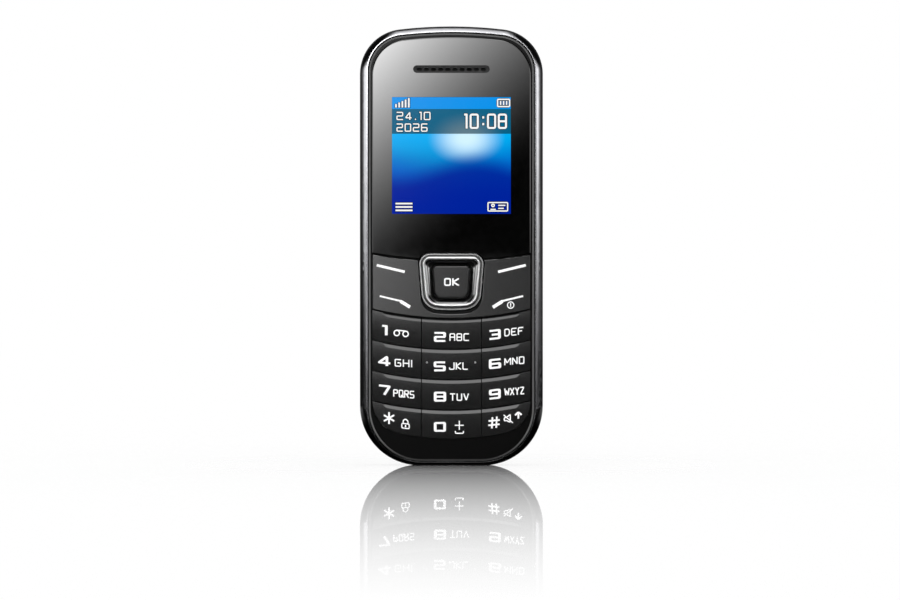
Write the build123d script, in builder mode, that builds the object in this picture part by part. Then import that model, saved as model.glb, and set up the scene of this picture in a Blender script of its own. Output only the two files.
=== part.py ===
from build123d import *
import os
from math import sqrt

# A bar phone with number keys. X is the viewer's right, -Y the front, Z up, millimetres.
# "Level" means a height towards the front, measured from the middle of the thickness.

# Overall size
body_height = 108.0
body_width = 45.0
body_thickness = 13.5
top_arc_radius = 110.0
top_corner_radius = 11.0
bottom_corner_radius = 14.7
overrun = 1.0
seat_gap = 0.05

# Band round the front edge, as seen from the front
band_side = 1.95
band_top = 1.5
band_bottom = 0.9
band_crest_drop = 0.55
band_round_depth = 2.0
band_inner_round = 0.08
band_inset_shares = (0.0, 0.12, 0.36, 0.64, 0.85)
band_level_shares = (0.0, 0.47, 0.77, 0.94, 1.0)

# Rim of the front housing inside the band
groove_width = 0.22
rim_width = 0.45
rim_round = 0.15
rim_drop = 0.85
field_drop = 1.2
front_wall = 1.3
skirt_wall = 0.9
corner_tighten = 0.5

# Display window
window_side_margin = 2.95
window_top_margin = 2.7
window_corner = 8.8
window_drop = 0.4
window_thickness = 1.0
window_edge_round = 0.3
window_bottom_radius = 115.0
tape_thickness = 0.15
tape_width = 1.4

# Screen
screen_side_margin = 7.9
screen_top_margin = 17.4
screen_foot_margin = 11.4
glass_margin = 2.0
glass_foot = 3.5
glass_thickness = 1.0
flex_thickness = 0.15
flex_width = 14.0
flex_length = 4.0

# Earpiece
earpiece_slot_length = 18.8
earpiece_slot_height = 1.85
earpiece_top_margin = 10.6
grille_drop = 0.75
grille_thickness = 0.7
grille_hole_length = 1.35
grille_hole_height = 0.8
grille_hole_pitch = 1.75
grille_hole_count = 10
receiver_length = 11.0
receiver_height = 5.5
receiver_corner = 1.2
gasket_wall = 0.8
gasket_thickness = 0.25

# Keypad field
keypad_side_margin = 3.1
column_seam = 7.38
key_gap = 0.24
edge_gap = 0.2
row_radius = 84.0
row_count = 4
row_pitch = 7.47
last_row_short = 0.45
keypad_bottom_mid = 6.64
keypad_bottom_radius = 62.0
keypad_corner = 8.0
key_drop = 0.75
key_crown = 0.28
ledge_depth = 1.02
ledge_fall = 0.5
ledge_step = 0.2
ledge_half_length = 16.9
ledge_end_round = 1.8
key_travel = 0.25
travel_slack = 0.05
stem_radius = 1.3
stem_clearance = 0.25
stem_margin = 6.5
stem_rise = 0.9

# Function plate
function_height = 14.38
function_top_clear = 0.22
function_drop = 0.65
function_edge_round = 0.18
plate_tilt_gap = 0.45
support_side_gap = 0.4

# Navigation rocker and OK key
nav_half_width = 7.35
nav_overlap = 0.9
nav_foot_margin = 2.88
nav_bottom_radius = 40.0
nav_taper = 1.05
nav_top_corner = 1.9
nav_bottom_corner = 3.4
nav_ring_width = 0.72
nav_ring_depth = 1.3
nav_ring_round = 0.3
nav_base_margin = 0.72
nav_lip_width = 0.3
nav_lip_height = 0.3
nav_base_drop = 0.75
nav_gap = 0.3
nav_cutout_margin = 1.18
ok_half_width = 4.6
ok_top_margin = 2.3
ok_foot_margin = 2.25
ok_taper = 0.55
ok_top_corner = 0.95
ok_bottom_corner = 1.7
ok_drop = 0.55
ok_edge_round = 0.3
ok_gap = 0.33
ok_back_rise = 0.25
funnel_depth = 0.85
rocker_tilt_gap = 0.35

# Number keypad mat and its dome sites
dome_radius = 2.0
function_dome_margin = 6.8
function_dome_foot = 4.7
function_dome_head = 2.25
nav_dome_reach = 5.6
led_width = 1.2
led_height = 0.5
led_side_margin = 3.0
led_inset = 3.0

# Board and what it carries
board_gap = 0.25
shield_wall = 0.2
shield_side_margin = 8.0
shield_upper_length = 22.0
shield_top_margin = 9.0
shield_lower_foot = 31.0
shield_pause = 12.0
chip_size = 9.0
chip_thickness = 0.8
boss_radius = 1.45
boss_side_margin = 3.7
boss_top_margin = 11.0
boss_foot_margin = 14.0
boss_back_wall = 1.2
screw_radius = 0.7
screw_head_radius = 1.3
screw_head_thickness = 0.8
screw_reach = 2.0

# Charging inlet in the lower end
socket_width = 7.6
socket_depth = 2.6
socket_length = 5.0
socket_foot = 0.3
socket_wall = 0.3
socket_clearance = 0.2
tongue_width = 5.0
tongue_thickness = 0.6
tongue_length = 3.6

# Sound and vibration
microphone_corner = 9.3
microphone_width = 4.0
microphone_length = 3.0
microphone_thickness = 1.1
microphone_height = 5.4
boot_wall = 0.4
sound_hole_radius = 0.45
loudspeaker_width = 15.0
loudspeaker_height = 8.0
loudspeaker_thickness = 3.2
loudspeaker_top_margin = 7.8
loudspeaker_corner = 1.5
motor_radius = 2.0
motor_length = 8.0
motor_x = -10.5
motor_height = 15.5
shaft_radius = 0.4
shaft_reach = 3.0
weight_radius = 1.9
weight_length = 2.4
weight_gap = 0.35

# Antenna
antenna_width = 5.0
antenna_height = 8.0
antenna_top_margin = 8.0
antenna_gap = 0.3
antenna_depth = 3.4
antenna_wall = 1.0
antenna_strip_thickness = 0.15
antenna_strip_width = 1.6

# Battery and SIM card
battery_side_margin = 5.5
battery_top_margin = 31.5
battery_foot = 23.5
battery_edge_round = 0.6
bay_wall = 0.8
bay_clearance = 0.25
bay_wall_height = 3.2
terminal_width = 1.6
terminal_pitch = 2.8
terminal_thickness = 0.1
connector_width = 10.0
connector_height = 2.5
connector_thickness = 3.0
spring_width = 0.9
spring_reach = 0.35
sim_width = 25.0
sim_length = 15.0
sim_thickness = 0.76
sim_corner_cut = 3.0
sim_side_margin = 19.5
sim_top_margin = 20.2
sim_gap = 0.06
holder_wall = 0.3
holder_base = 0.7
holder_cap = 0.3
holder_bridge = 4.0
holder_bridge_pitch = 12.0

# Rear shells
rear_wall = 1.5
cover_inset = 0.1
cover_back_round = 2.9
lift_clearance = 0.3
cover_lip_width = 0.7
cover_lip_height = 0.7
cover_lip_clearance = 0.12
slot_count = 5
slot_pitch = 1.8
slot_length = 11.0
slot_width = 0.9
notch_radius = 9.0
notch_depth = 0.5
notch_height = 1.0

# Layers from the back forwards
cover_wall = 1.0
battery_gap = 0.2
battery_thickness = 4.6
floor_thickness = 0.6
shield_gap = 0.2
shield_height = 1.25
board_thickness = 0.8
dome_height = 0.25
mat_thickness = 0.6
mat_lift = 0.65

# Heights and half widths that follow the body
body_half = body_width / 2
keypad_top_mid = keypad_bottom_mid + row_pitch * row_count - last_row_short
window_bottom_mid = keypad_top_mid + function_height
window_half_width = body_half - window_side_margin
window_top = body_height - window_top_margin
keypad_half_width = body_half - keypad_side_margin
screen_width = (body_half - screen_side_margin) * 2
screen_height = body_height - screen_top_margin - window_bottom_mid - screen_foot_margin
screen_mid_height = body_height - screen_top_margin - screen_height / 2
earpiece_mid_height = body_height - earpiece_top_margin
nav_top = window_bottom_mid + nav_overlap
nav_bottom_mid = keypad_top_mid + nav_foot_margin
nav_cutout_bottom = keypad_top_mid + nav_cutout_margin
ok_top = nav_top - ok_top_margin
ok_bottom = nav_bottom_mid + ok_foot_margin
ok_mid_height = (ok_top + ok_bottom) / 2
function_dome_low = keypad_top_mid + function_dome_foot
function_dome_high = window_bottom_mid - function_dome_head
stem_x = keypad_half_width - stem_margin
function_dome_x = keypad_half_width - function_dome_margin
led_x = keypad_half_width - led_side_margin
microphone_x = (socket_width / 2 + body_half - microphone_corner) / 2
support_half_width = led_x - led_width / 2 - support_side_gap
led_heights = (keypad_bottom_mid + led_inset, keypad_top_mid - led_inset, window_bottom_mid)
battery_width = (body_half - battery_side_margin) * 2
battery_length = body_height - battery_top_margin - battery_foot
battery_mid_height = battery_foot + battery_length / 2
shield_width = (body_half - shield_side_margin) * 2
shield_upper_mid = body_height - shield_top_margin - shield_upper_length / 2
shield_lower_length = shield_upper_mid - shield_upper_length / 2 - shield_pause - shield_lower_foot
shield_lower_mid = shield_lower_foot + shield_lower_length / 2
boss_x = body_half - boss_side_margin
boss_heights = (body_height - boss_top_margin, battery_mid_height, boss_foot_margin)
loudspeaker_mid_height = body_height - loudspeaker_top_margin
antenna_mid_height = body_height - antenna_top_margin
sim_mid_height = body_height - sim_top_margin
sim_x = body_half - sim_side_margin

# Levels
back_level = -body_thickness / 2
front_level = body_thickness / 2
cover_inner_level = back_level + cover_wall
battery_back_level = cover_inner_level + battery_gap
battery_front_level = battery_back_level + battery_thickness
floor_back_level = battery_front_level + battery_gap
floor_front_level = floor_back_level + floor_thickness
shield_back_level = floor_front_level + shield_gap
board_back_level = shield_back_level + shield_height
board_front_level = board_back_level + board_thickness
dome_crest_level = board_front_level + dome_height
mat_back_level = board_front_level + mat_lift
mat_front_level = mat_back_level + mat_thickness
seam_level = 0.0
cover_seam_level = -3.0

window_front_level = front_level - window_drop
window_back_level = window_front_level - window_thickness
tape_back_level = window_back_level - tape_thickness
front_back_level = tape_back_level - front_wall
key_front_level = front_level - key_drop
key_back_level = mat_front_level + key_travel + travel_slack
stem_tip_level = dome_crest_level + key_travel + travel_slack
boss_foot_level = seam_level + seat_gap
boss_top_level = mat_back_level - travel_slack
boss_seat_level = boss_foot_level - boss_back_wall
glass_width = screen_width + glass_margin * 2
glass_height = screen_height + glass_margin + glass_foot
glass_mid_height = screen_mid_height + (glass_margin - glass_foot) / 2
glass_back_level = tape_back_level - glass_thickness
socket_mid_level = board_back_level - socket_depth / 2

# Outline of the rim
rim_half = body_half - band_side - groove_width
rim_top = body_height - band_top - groove_width
rim_bottom = band_bottom + groove_width
rim_top_corner = top_corner_radius - band_side - groove_width
rim_bottom_corner = bottom_corner_radius - band_side - groove_width + corner_tighten


def level_plane(level):
    """Plane that faces the front at a level, with X along the width and Y along the height."""
    return Plane.XZ.offset(level)


def smile(x, middle, radius):
    """Height of an arc that hangs lowest in the middle."""
    return middle + radius - sqrt(radius**2 - x**2)


def phone_outline(half, bottom, top, bottom_corner, top_corner, inset=0.0):
    """Closed outline with an arched top, straight sides and large lower corners."""
    crown = top_arc_radius - body_height + top
    shoulder = top - crown + sqrt(crown**2 - half**2)
    with BuildSketch() as shape:
        with BuildLine():
            ThreePointArc((-half, shoulder), (0, top), (half, shoulder))
            Polyline((half, shoulder), (half, bottom), (-half, bottom), (-half, shoulder))
        make_face()
        fillet(shape.vertices().group_by(Axis.Y)[-1], top_corner)
        fillet(shape.vertices().group_by(Axis.Y)[0], bottom_corner)
        if inset:
            offset(amount=-inset)
    return shape.sketch


def body_outline(inset=0.0):
    return phone_outline(body_half, 0.0, body_height, bottom_corner_radius, top_corner_radius, inset)


def rim_outline(inset=0.0):
    return phone_outline(rim_half, rim_bottom, rim_top, rim_bottom_corner, rim_top_corner, inset)


def band_outline(share):
    """Outline of the band's outer face, a share of the way in to its inner edge."""
    side = band_side * share
    return phone_outline(
        body_half - side,
        band_bottom * share,
        body_height - band_top * share,
        bottom_corner_radius - side,
        top_corner_radius - side,
    )


def nav_outline(grow, lower_grow=None):
    """Rounded trapezoid with a hanging lower edge, grown outwards by a margin."""
    lower = grow if lower_grow is None else lower_grow
    half = nav_half_width + grow
    half_low = half - nav_taper
    top = nav_top + grow
    middle = nav_bottom_mid - lower
    corner = smile(half_low, middle, nav_bottom_radius + lower)
    with BuildSketch() as shape:
        with BuildLine():
            Polyline((half_low, corner), (half, top), (-half, top), (-half_low, corner))
            ThreePointArc((-half_low, corner), (0, middle), (half_low, corner))
        make_face()
        fillet(shape.vertices().group_by(Axis.Y)[-1], nav_top_corner + grow)
        fillet(shape.vertices().group_by(Axis.Y)[0], nav_bottom_corner + grow)
    return shape.sketch


def ok_outline(grow):
    """Rounded trapezoid of the OK key, grown outwards by a margin."""
    half = ok_half_width + grow
    half_low = half - ok_taper
    with BuildSketch() as shape:
        with BuildLine():
            Polyline(
                (half_low, ok_bottom - grow),
                (half, ok_top + grow),
                (-half, ok_top + grow),
                (-half_low, ok_bottom - grow),
                close=True,
            )
        make_face()
        fillet(shape.vertices().group_by(Axis.Y)[-1], ok_top_corner + grow)
        fillet(shape.vertices().group_by(Axis.Y)[0], ok_bottom_corner + grow)
    return shape.sketch


def window_outline(grow):
    """Window: arched top, hanging lower edge and a notch for the rocker."""
    crown = top_arc_radius - body_height + window_top
    shoulder = window_top - crown + sqrt(crown**2 - window_half_width**2)
    low = smile(window_half_width, window_bottom_mid, window_bottom_radius)
    with BuildSketch() as shape:
        with BuildLine():
            ThreePointArc((-window_half_width, shoulder), (0, window_top), (window_half_width, shoulder))
            Line((window_half_width, shoulder), (window_half_width, low))
            ThreePointArc((window_half_width, low), (0, window_bottom_mid), (-window_half_width, low))
            Line((-window_half_width, low), (-window_half_width, shoulder))
        make_face()
        fillet(shape.vertices().group_by(Axis.Y)[-1], window_corner)
        if grow:
            offset(amount=grow)
        add(nav_outline(nav_base_margin + nav_gap - grow), mode=Mode.SUBTRACT)
    return shape.sketch


def arc_band(left, right, upper, upper_radius, lower, lower_radius):
    """Area between two hanging arcs and two upright edges."""
    middle = (left + right) / 2
    with BuildSketch() as shape:
        with BuildLine():
            ThreePointArc(
                (left, smile(left, upper, upper_radius)),
                (middle, smile(middle, upper, upper_radius)),
                (right, smile(right, upper, upper_radius)),
            )
            Line((right, smile(right, upper, upper_radius)), (right, smile(right, lower, lower_radius)))
            ThreePointArc(
                (right, smile(right, lower, lower_radius)),
                (middle, smile(middle, lower, lower_radius)),
                (left, smile(left, lower, lower_radius)),
            )
            Line((left, smile(left, lower, lower_radius)), (left, smile(left, upper, upper_radius)))
        make_face()
    return shape.sketch


def keypad_outline(grow):
    """Field of all the keys, from the window's lower edge to the chin."""
    with BuildSketch() as shape:
        add(
            arc_band(
                -keypad_half_width,
                keypad_half_width,
                window_bottom_mid,
                window_bottom_radius,
                keypad_bottom_mid,
                keypad_bottom_radius,
            )
        )
        fillet(shape.vertices().group_by(Axis.Y)[0], keypad_corner)
        if grow:
            offset(amount=grow)
    return shape.sketch


def above_keys(grow):
    """Everything above the first row of number keys, grown downwards by a margin."""
    return arc_band(
        -body_half, body_half, body_height, row_radius, keypad_top_mid - grow, row_radius
    )


def save(piece, name):
    piece.part.label = name
    export_step(piece.part, f"parts/{name}.step")


os.makedirs("parts", exist_ok=True)

# Band: a straight flank, then a rounded shoulder lofted in to the crest
band_crest_level = front_level - band_crest_drop
band_flank_level = band_crest_level - band_round_depth
with BuildPart() as bezel_frame:
    with BuildSketch(level_plane(seam_level)):
        add(body_outline())
    extrude(amount=band_flank_level - seam_level)
    for inset_share, level_share in zip(band_inset_shares, band_level_shares):
        with BuildSketch(level_plane(band_flank_level + band_round_depth * level_share)):
            add(band_outline(inset_share))
    loft()
    with BuildSketch(level_plane(seam_level - overrun)):
        add(rim_outline(-groove_width))
    extrude(amount=body_thickness, mode=Mode.SUBTRACT)
    crest = bezel_frame.faces().sort_by(Axis.Y)[0]
    fillet(crest.inner_wires()[0].edges(), band_inner_round)
    with BuildSketch(Plane.XY.offset(-overrun)):
        with Locations((0, -socket_mid_level)):
            Rectangle(socket_width + socket_clearance * 2, socket_depth + socket_clearance * 2)
    extrude(amount=socket_length + overrun, mode=Mode.SUBTRACT)
save(bezel_frame, "bezel_frame")

# Front housing: a plate with a rim, a seat for the window, the keypad opening and a skirt inside the band
rim_level = front_level - rim_drop
field_level = front_level - field_drop
boss_places = [(side * boss_x, height) for side in (-1, 1) for height in boss_heights]
with BuildPart() as front_cover:
    with BuildSketch(level_plane(front_back_level)):
        add(rim_outline())
    extrude(amount=rim_level - front_back_level)
    fillet(front_cover.faces().sort_by(Axis.Y)[0].outer_wire().edges(), rim_round)
    with BuildSketch(level_plane(field_level)):
        add(rim_outline(rim_width))
    extrude(amount=field_drop, mode=Mode.SUBTRACT)
    with BuildSketch(level_plane(tape_back_level)):
        add(window_outline(edge_gap))
    extrude(amount=body_thickness, mode=Mode.SUBTRACT)
    with BuildSketch(level_plane(front_back_level)):
        with Locations((0, glass_mid_height)):
            Rectangle(glass_width + edge_gap * 2, glass_height + edge_gap * 2)
        with Locations((0, earpiece_mid_height)):
            Rectangle(receiver_length + edge_gap * 2, receiver_height + edge_gap * 2)
            SlotOverall(earpiece_slot_length + tape_width, receiver_height - tape_width)
        add(keypad_outline(edge_gap))
        add(nav_outline(nav_base_margin + nav_gap))
    extrude(amount=body_thickness, mode=Mode.SUBTRACT)
    with BuildSketch(level_plane(seam_level)):
        add(rim_outline())
        add(rim_outline(skirt_wall), mode=Mode.SUBTRACT)
    extrude(amount=front_back_level - seam_level)
    with BuildSketch(level_plane(boss_foot_level)):
        with Locations(*boss_places):
            Circle(boss_radius)
    extrude(amount=boss_top_level - boss_foot_level)
    with BuildSketch(level_plane(boss_foot_level)):
        with Locations(*boss_places):
            Circle(screw_radius + seat_gap)
    extrude(amount=screw_reach, mode=Mode.SUBTRACT)
    with BuildSketch(Plane.XY.offset(-overrun)):
        with Locations((0, -socket_mid_level)):
            Rectangle(socket_width + socket_clearance * 2, socket_depth + socket_clearance * 2)
    extrude(amount=socket_length + overrun, mode=Mode.SUBTRACT)
save(front_cover, "front_cover")

# Window: flat lens with a slot for the earpiece grille
with BuildPart() as display_window:
    with BuildSketch(level_plane(window_back_level)):
        add(window_outline(0))
        with Locations((0, earpiece_mid_height)):
            SlotOverall(earpiece_slot_length, earpiece_slot_height, mode=Mode.SUBTRACT)
    extrude(amount=window_thickness)
    fillet(display_window.faces().sort_by(Axis.Y)[0].outer_wire().edges(), window_edge_round)
save(display_window, "display_window")

# Tape under the window's edge
with BuildPart() as window_tape:
    with BuildSketch(level_plane(tape_back_level)):
        add(window_outline(-edge_gap))
        with Locations((0, glass_mid_height)):
            Rectangle(glass_width, glass_height, mode=Mode.SUBTRACT)
        with Locations((0, earpiece_mid_height)):
            SlotOverall(earpiece_slot_length + tape_width, receiver_height, mode=Mode.SUBTRACT)
    extrude(amount=tape_thickness)
save(window_tape, "window_tape")

# Earpiece grille: a slim bar with a row of holes, sunk below the window's face
grille_level = window_front_level - grille_drop
with BuildPart() as earpiece_grille:
    with BuildSketch(level_plane(grille_level - grille_thickness)):
        with Locations((0, earpiece_mid_height)):
            SlotOverall(earpiece_slot_length - seat_gap * 2, earpiece_slot_height - seat_gap * 2)
            with GridLocations(grille_hole_pitch, 0, grille_hole_count, 1):
                SlotOverall(grille_hole_length, grille_hole_height, mode=Mode.SUBTRACT)
    extrude(amount=grille_thickness)
save(earpiece_grille, "earpiece_grille")

# Function plate: one plate round the rocker, with its own lift-off pad that it rocks on
function_level = front_level - function_drop
plate_back_level = mat_front_level + plate_tilt_gap
with BuildPart() as function_plate:
    with BuildSketch(level_plane(plate_back_level)):
        add(
            arc_band(
                -keypad_half_width,
                keypad_half_width,
                window_bottom_mid - function_top_clear,
                window_bottom_radius,
                keypad_top_mid + key_gap / 2,
                row_radius,
            )
        )
        add(nav_outline(nav_base_margin + nav_gap, nav_bottom_mid - nav_cutout_bottom), mode=Mode.SUBTRACT)
    extrude(amount=function_level - plate_back_level)
    fillet(function_plate.faces().sort_by(Axis.Y)[0].outer_wire().edges(), function_edge_round)
save(function_plate, "function_plate")

with BuildPart() as function_support:
    with BuildSketch(level_plane(mat_back_level)):
        add(
            arc_band(
                -support_half_width,
                support_half_width,
                window_bottom_mid - nav_gap,
                window_bottom_radius,
                keypad_top_mid + nav_gap,
                row_radius,
            )
        )
        add(nav_outline(nav_base_margin + nav_gap, nav_bottom_mid - nav_cutout_bottom), mode=Mode.SUBTRACT)
    extrude(amount=mat_thickness)
save(function_support, "function_support")

# Rocker: a dished base with a thin lip, and the bright ring set in it
nav_base_level = front_level - nav_base_drop
nav_back_level = mat_front_level + rocker_tilt_gap
funnel_level = nav_base_level - funnel_depth
ring_back_level = front_level - nav_ring_depth
with BuildPart() as nav_base:
    with BuildSketch(level_plane(nav_back_level)):
        add(nav_outline(nav_base_margin))
    extrude(amount=nav_base_level - nav_back_level)
    with BuildSketch(level_plane(nav_base_level - nav_lip_height)):
        add(nav_outline(nav_base_margin - nav_lip_width))
        add(nav_outline(0), mode=Mode.SUBTRACT)
    extrude(amount=front_level, mode=Mode.SUBTRACT)
    with BuildSketch(level_plane(ring_back_level)):
        add(nav_outline(0))
        add(nav_outline(-nav_ring_width), mode=Mode.SUBTRACT)
    extrude(amount=front_level, mode=Mode.SUBTRACT)
    with BuildSketch(level_plane(nav_base_level)):
        add(nav_outline(-nav_ring_width - seat_gap))
    with BuildSketch(level_plane(funnel_level)):
        add(ok_outline(ok_gap))
    loft(mode=Mode.SUBTRACT)
    with BuildSketch(level_plane(nav_back_level)):
        add(ok_outline(ok_gap))
    extrude(amount=front_level, mode=Mode.SUBTRACT)
save(nav_base, "nav_base")

with BuildPart() as nav_ring:
    with BuildSketch(level_plane(ring_back_level)):
        add(nav_outline(0))
        add(nav_outline(-nav_ring_width), mode=Mode.SUBTRACT)
    extrude(amount=nav_ring_depth)
    fillet(nav_ring.faces().sort_by(Axis.Y)[0].edges(), nav_ring_round)
save(nav_ring, "nav_ring")

with BuildPart() as nav_support:
    with BuildSketch(level_plane(mat_back_level)):
        add(nav_outline(nav_base_margin))
        with Locations((0, ok_mid_height)):
            Circle(stem_radius + stem_clearance, mode=Mode.SUBTRACT)
    extrude(amount=mat_thickness)
save(nav_support, "nav_support")

# OK key: a rounded block with a round stem that reaches for its dome
ok_back_level = key_back_level + ok_back_rise
with BuildPart() as ok_key:
    with BuildSketch(level_plane(ok_back_level)):
        add(ok_outline(0))
    extrude(amount=front_level - ok_drop - ok_back_level)
    fillet(ok_key.faces().sort_by(Axis.Y)[0].edges(), ok_edge_round)
    with BuildSketch(level_plane(stem_tip_level)):
        with Locations((0, ok_mid_height)):
            Circle(stem_radius)
    extrude(amount=ok_back_level - stem_tip_level)
save(ok_key, "ok_key")

# Number keys: each row's face is turned about the centre of its arc, with a scooped ledge along the top
key_names = (
    ("key_1", "key_2", "key_3"),
    ("key_4", "key_5", "key_6"),
    ("key_7", "key_8", "key_9"),
    ("key_star", "key_0", "key_hash"),
)
column_edges = (
    (-keypad_half_width, -column_seam - key_gap / 2),
    (-column_seam + key_gap / 2, column_seam - key_gap / 2),
    (column_seam + key_gap / 2, keypad_half_width),
)
stem_places = []
for row, names in enumerate(key_names):
    row_top = keypad_top_mid - row_pitch * row
    row_bottom = row_top - row_pitch * (2 if row == len(key_names) - 1 else 1)
    turn_axis = Axis((0, 0, row_top + row_radius), (0, 1, 0))
    first = row_top + row_radius * 2
    last = first + row_top - row_bottom
    drop = key_crown * ((last - first) / row_pitch) ** 2
    with BuildPart() as row_body:
        with BuildSketch(Plane.YZ):
            with BuildLine():
                ThreePointArc(
                    (-key_front_level, first),
                    (-key_front_level + drop / 4, (first + last) / 2),
                    (-key_front_level + drop, last),
                )
                Polyline(
                    (-key_front_level + drop, last),
                    (-key_back_level, last),
                    (-key_back_level, first),
                    (-key_front_level, first),
                )
            make_face()
        revolve(axis=turn_axis)
    with BuildPart() as row_ledge:
        with BuildSketch(Plane.YZ):
            with BuildLine():
                Polyline(
                    (-key_front_level + ledge_step + ledge_fall, first),
                    (-key_front_level + ledge_step, first + ledge_depth),
                    (-front_level, first + ledge_depth),
                    (-front_level, first),
                    close=True,
                )
            make_face()
        revolve(axis=turn_axis)
        with BuildSketch(level_plane(key_back_level)) as reach:
            add(
                arc_band(
                    -ledge_half_length,
                    ledge_half_length,
                    row_top + ledge_depth,
                    row_radius,
                    row_top - ledge_depth - seat_gap,
                    row_radius,
                )
            )
            ends = reach.vertices().sort_by(Axis.X)
            fillet([ends[:2].sort_by(Axis.Y)[0], ends[-2:].sort_by(Axis.Y)[0]], ledge_end_round)
        extrude(amount=body_thickness, mode=Mode.INTERSECT)
    for name, (left, right) in zip(names, column_edges):
        column = column_edges.index((left, right)) - 1
        stem_place = (column * stem_x, row_top - row_pitch / 2 + stem_rise * abs(column))
        stem_places.append(stem_place)
        with BuildPart() as key:
            add(row_body.part)
            with BuildSketch(level_plane(key_back_level)):
                add(arc_band(left, right, row_top - key_gap / 2, row_radius, row_bottom + key_gap / 2, row_radius))
                add(keypad_outline(0), mode=Mode.INTERSECT)
            extrude(amount=body_thickness, mode=Mode.INTERSECT)
            add(row_ledge.part, mode=Mode.SUBTRACT)
            with BuildSketch(level_plane(stem_tip_level)):
                with Locations(stem_place):
                    Circle(stem_radius)
            extrude(amount=key_back_level - stem_tip_level)
        save(key, name)

# Silicone mat behind the number keys, held between the bosses and the keys
with BuildPart() as keypad_mat:
    with BuildSketch(level_plane(mat_back_level)):
        add(keypad_outline(-edge_gap))
        add(above_keys(nav_gap), mode=Mode.SUBTRACT)
        with Locations(*stem_places):
            Circle(stem_radius + stem_clearance, mode=Mode.SUBTRACT)
    extrude(amount=mat_thickness)
save(keypad_mat, "keypad_mat")

# Main board: follows the housing, with notches round the screw bosses
with BuildPart() as main_board:
    with BuildSketch(level_plane(board_back_level)):
        add(rim_outline(skirt_wall + board_gap))
        with Locations(*boss_places):
            Circle(boss_radius + board_gap, mode=Mode.SUBTRACT)
    extrude(amount=board_thickness)
save(main_board, "main_board")

# Metal domes on the board, the film over their feet, and the key lights
function_domes = [(side * function_dome_x, z) for side in (-1, 1) for z in (function_dome_low, function_dome_high)]
nav_domes = [(side * nav_dome_reach, ok_mid_height) for side in (-1, 1)]
dome_places = stem_places + function_domes + nav_domes + [(0, ok_mid_height)]
with BuildPart() as key_domes:
    with BuildSketch(level_plane(board_front_level)):
        with Locations(*dome_places):
            Circle(dome_radius)
    extrude(amount=dome_height)
    crests = key_domes.faces().filter_by(GeomType.PLANE).group_by(Axis.Y)[0]
    chamfer(crests.edges(), dome_height - seat_gap, dome_radius / 2)
save(key_domes, "key_domes")

with BuildPart() as keypad_leds:
    with BuildSketch(level_plane(board_front_level)):
        with Locations(*[(side * led_x, row_line) for side in (-1, 1) for row_line in led_heights]):
            Rectangle(led_width, led_width)
    extrude(amount=led_height)
save(keypad_leds, "keypad_leds")

# Screening cans over the board's back, and the chips inside them
with BuildPart() as shield_cans:
    for middle, length in (
        (shield_upper_mid, shield_upper_length),
        (shield_lower_mid, shield_lower_length),
    ):
        with BuildSketch(level_plane(shield_back_level)):
            with Locations((0, middle)):
                Rectangle(shield_width, length)
        extrude(amount=shield_height)
        with BuildSketch(level_plane(shield_back_level + shield_wall)):
            with Locations((0, middle)):
                Rectangle(shield_width - shield_wall * 2, length - shield_wall * 2)
        extrude(amount=shield_height, mode=Mode.SUBTRACT)
save(shield_cans, "shield_cans")

with BuildPart() as board_chips:
    with BuildSketch(level_plane(board_back_level - chip_thickness)):
        with Locations((0, shield_upper_mid), (0, shield_lower_mid)):
            with GridLocations(chip_size + bay_wall * 2, 0, 2, 1):
                Rectangle(chip_size, chip_size)
    extrude(amount=chip_thickness)
save(board_chips, "board_chips")

# Screen: glass on a light box that stands on the board, with a ribbon from the glass's lower edge
with BuildPart() as lcd_glass:
    with BuildSketch(level_plane(glass_back_level)):
        with Locations((0, glass_mid_height)):
            Rectangle(glass_width, glass_height)
    extrude(amount=glass_thickness)
save(lcd_glass, "lcd_glass")

with BuildPart() as lcd_backlight:
    with BuildSketch(level_plane(board_front_level)):
        with Locations((0, glass_mid_height)):
            Rectangle(glass_width, glass_height)
    extrude(amount=glass_back_level - board_front_level)
save(lcd_backlight, "lcd_backlight")

glass_foot_height = glass_mid_height - glass_height / 2
with BuildPart() as lcd_flex:
    with BuildSketch(Plane.YZ.offset(-flex_width / 2)):
        with BuildLine():
            Polyline(
                (-glass_back_level, glass_foot_height),
                (-glass_back_level, glass_foot_height - flex_thickness),
                (-board_front_level - flex_thickness, glass_foot_height - flex_thickness),
                (-board_front_level - flex_thickness, glass_foot_height - flex_length),
                (-board_front_level, glass_foot_height - flex_length),
                (-board_front_level, glass_foot_height),
                close=True,
            )
        make_face()
    extrude(amount=flex_width)
save(lcd_flex, "lcd_flex")

# Earpiece speaker on the board's front, with a soft gasket up to the window's tape
with BuildPart() as earpiece_speaker:
    with BuildSketch(level_plane(board_front_level)):
        with Locations((0, earpiece_mid_height)):
            RectangleRounded(receiver_length, receiver_height, receiver_corner)
    extrude(amount=grille_level - grille_thickness - gasket_thickness - board_front_level)
save(earpiece_speaker, "earpiece_speaker")

with BuildPart() as earpiece_gasket:
    with BuildSketch(level_plane(grille_level - grille_thickness - gasket_thickness)):
        with Locations((0, earpiece_mid_height)):
            RectangleRounded(receiver_length, receiver_height, receiver_corner)
            Rectangle(receiver_length - gasket_wall * 2, receiver_height - gasket_wall * 2, mode=Mode.SUBTRACT)
    extrude(amount=gasket_thickness - seat_gap)
save(earpiece_gasket, "earpiece_gasket")

# Microphone in its rubber boot on the board's back, over the sound hole
with BuildPart() as microphone:
    with BuildSketch(level_plane(board_back_level - microphone_thickness)):
        with Locations((microphone_x, microphone_height)):
            Rectangle(microphone_width, microphone_length)
    extrude(amount=microphone_thickness)
save(microphone, "microphone")

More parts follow.
